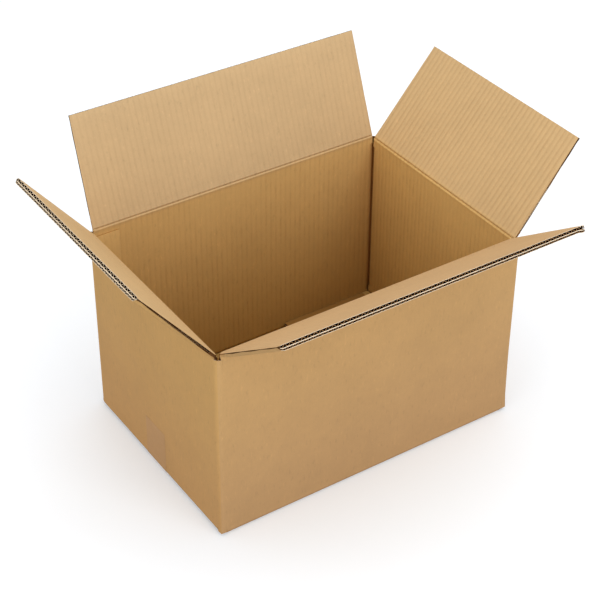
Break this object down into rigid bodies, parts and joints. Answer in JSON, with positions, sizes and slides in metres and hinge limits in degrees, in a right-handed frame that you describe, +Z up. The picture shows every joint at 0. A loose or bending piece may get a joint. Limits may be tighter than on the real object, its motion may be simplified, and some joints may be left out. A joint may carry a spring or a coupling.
{
  "type": "open corrugated carton",
  "caption": "Open double-wall corrugated cardboard carton with a taped bottom and hinged top flaps that lean outward, for packing and moving goods.",
  "frame": {"origin": "middle of the carton's underside, on the floor", "axes": "+X along the long walls, -Y towards the front long wall, +Z up"},
  "size_m": [0.6272, 0.4794, 0.4119],
  "materials": {
    "kraft_board": "matte brown kraft paper",
    "packing_tape": "clear film over brown board, satin"
  },
  "bodies": {
    "carton": {"carton_body": "kraft_board", "bottom_tape": "packing_tape"},
    "front_flap": {"front_flap": "kraft_board"},
    "back_flap": {"back_flap": "kraft_board"},
    "left_flap": {"left_flap": "kraft_board"},
    "right_flap": {"right_flap": "kraft_board"}
  },
  "joints": [
    {"name": "front_flap_score", "type": "hinge", "parent": "carton", "child": "front_flap", "pos_m": [0, -0.1515, 0.2733], "axis": [1, 0, 0], "range_deg": [-144.4, 50.6]},
    {"name": "back_flap_score", "type": "hinge", "parent": "carton", "child": "back_flap", "pos_m": [0, 0.1515, 0.2733], "axis": [-1, 0, 0], "range_deg": [-109.5, 85.5]},
    {"name": "left_flap_score", "type": "hinge", "parent": "carton", "child": "left_flap", "pos_m": [-0.219, 0, 0.2684], "axis": [0, -1, 0], "range_deg": [-128.9, 66.1]},
    {"name": "right_flap_score", "type": "hinge", "parent": "carton", "child": "right_flap", "pos_m": [0.219, 0, 0.2684], "axis": [0, 1, 0], "range_deg": [-129.2, 65.8]}
  ]
}
